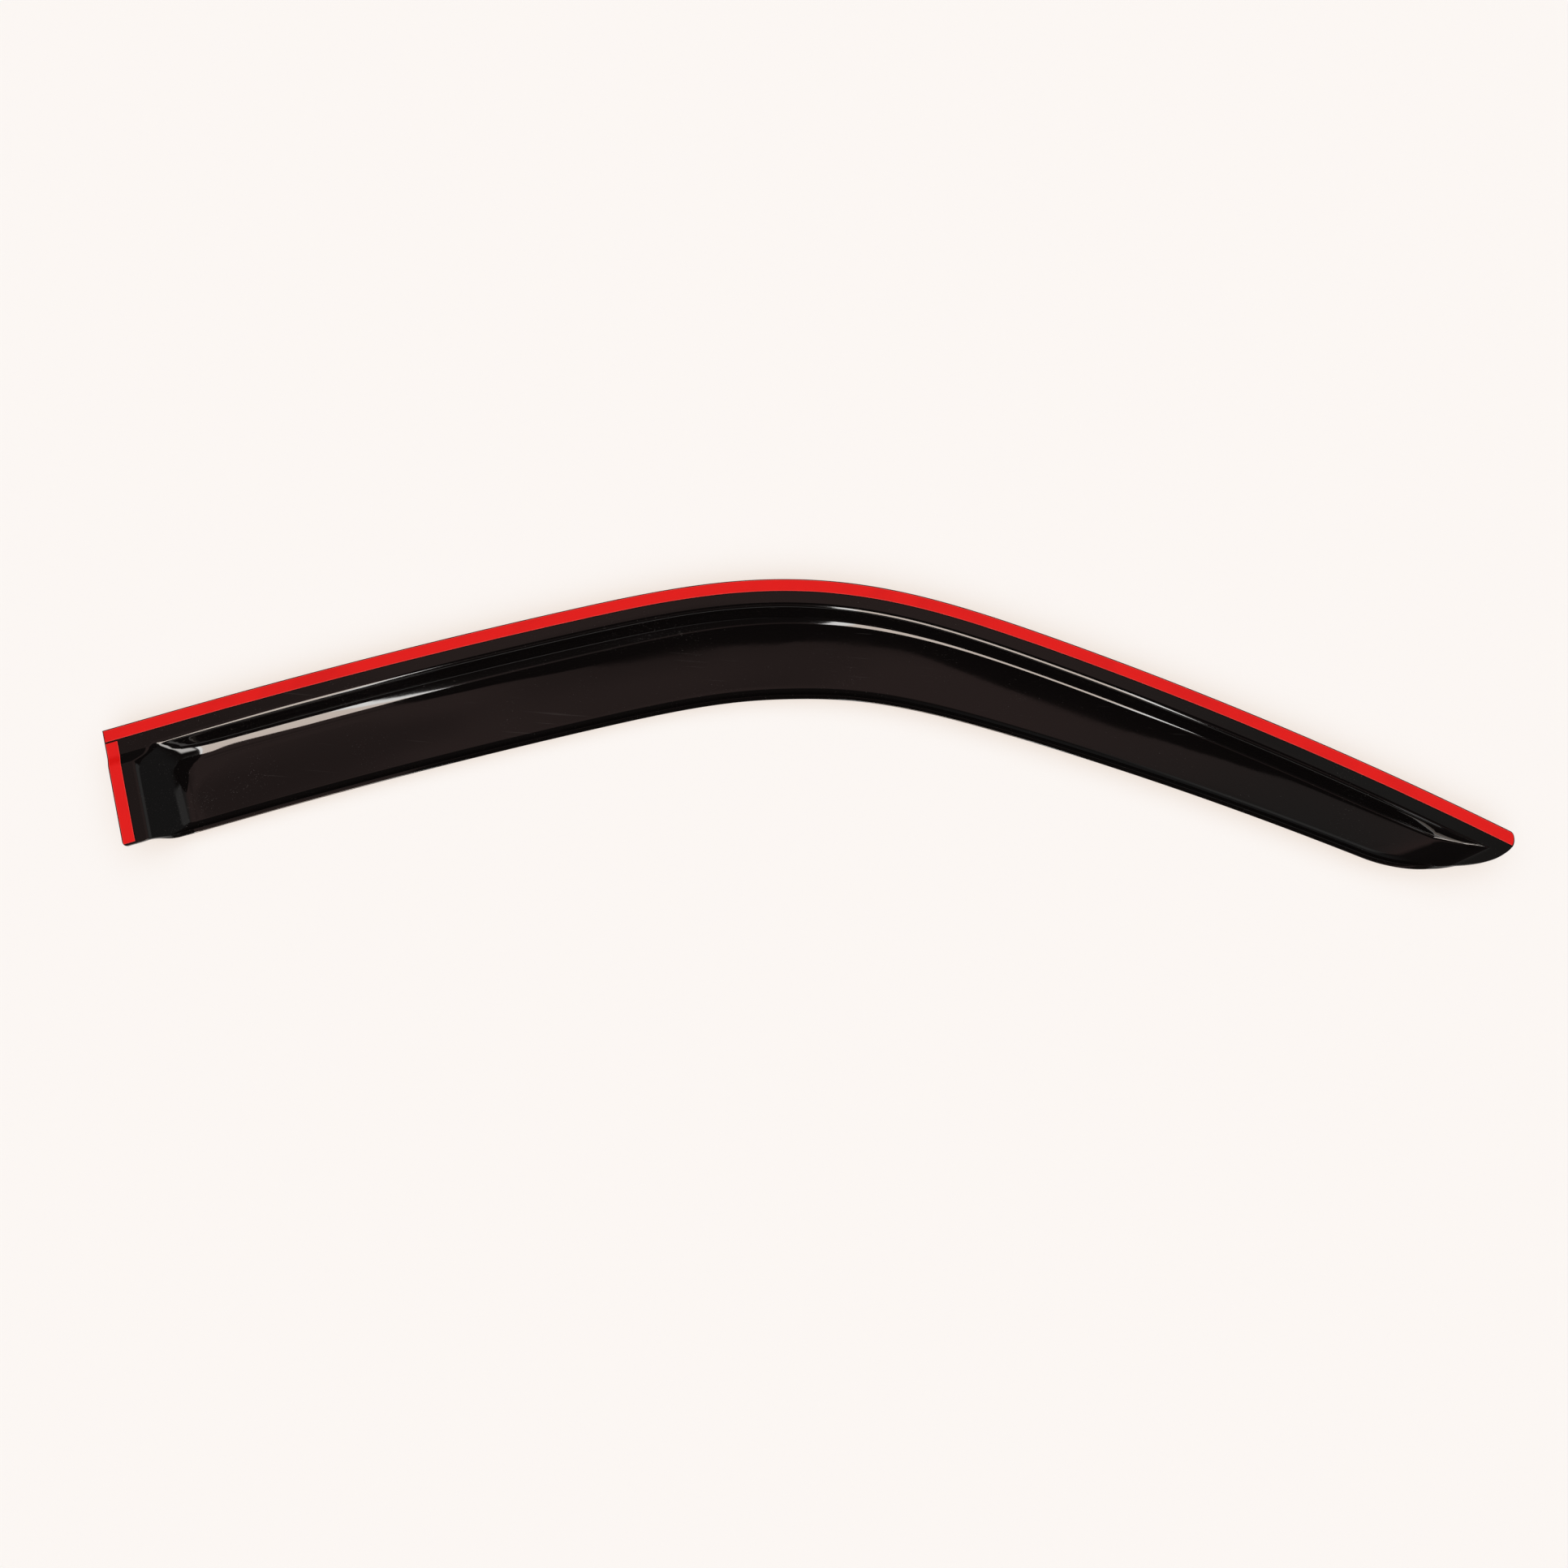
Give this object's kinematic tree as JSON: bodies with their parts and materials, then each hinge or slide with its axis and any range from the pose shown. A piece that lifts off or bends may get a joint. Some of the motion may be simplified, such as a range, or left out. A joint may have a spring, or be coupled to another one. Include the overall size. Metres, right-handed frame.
{
  "type": "window rain deflector",
  "caption": "Smoked acrylic rain deflector for a car door window: bent tapering visor with a bulged blade, curled lower edge, closed ends and self-adhesive tape, lying door side up.",
  "frame": {"origin": "middle of the bounding box in X and Y, at the level of the surface on which the part lies", "axes": "+X along the chord of the upper edge from the rear end to the tip, +Y toward the upper edge and its bend, +Z toward the door, which is up as the part lies"},
  "size_m": [0.9186, 0.2118, 0.0245],
  "materials": {
    "smoked_acrylic": "glossy smoked black",
    "tape_foam": "matt closed-cell foam",
    "tape_liner": "smooth satin film"
  },
  "bodies": {
    "root": {"visor_shell": "smoked_acrylic", "top_tape": "tape_foam", "top_tape_liner": "tape_liner", "end_tape": "tape_foam", "end_tape_liner": "tape_liner"}
  },
  "joints": []
}
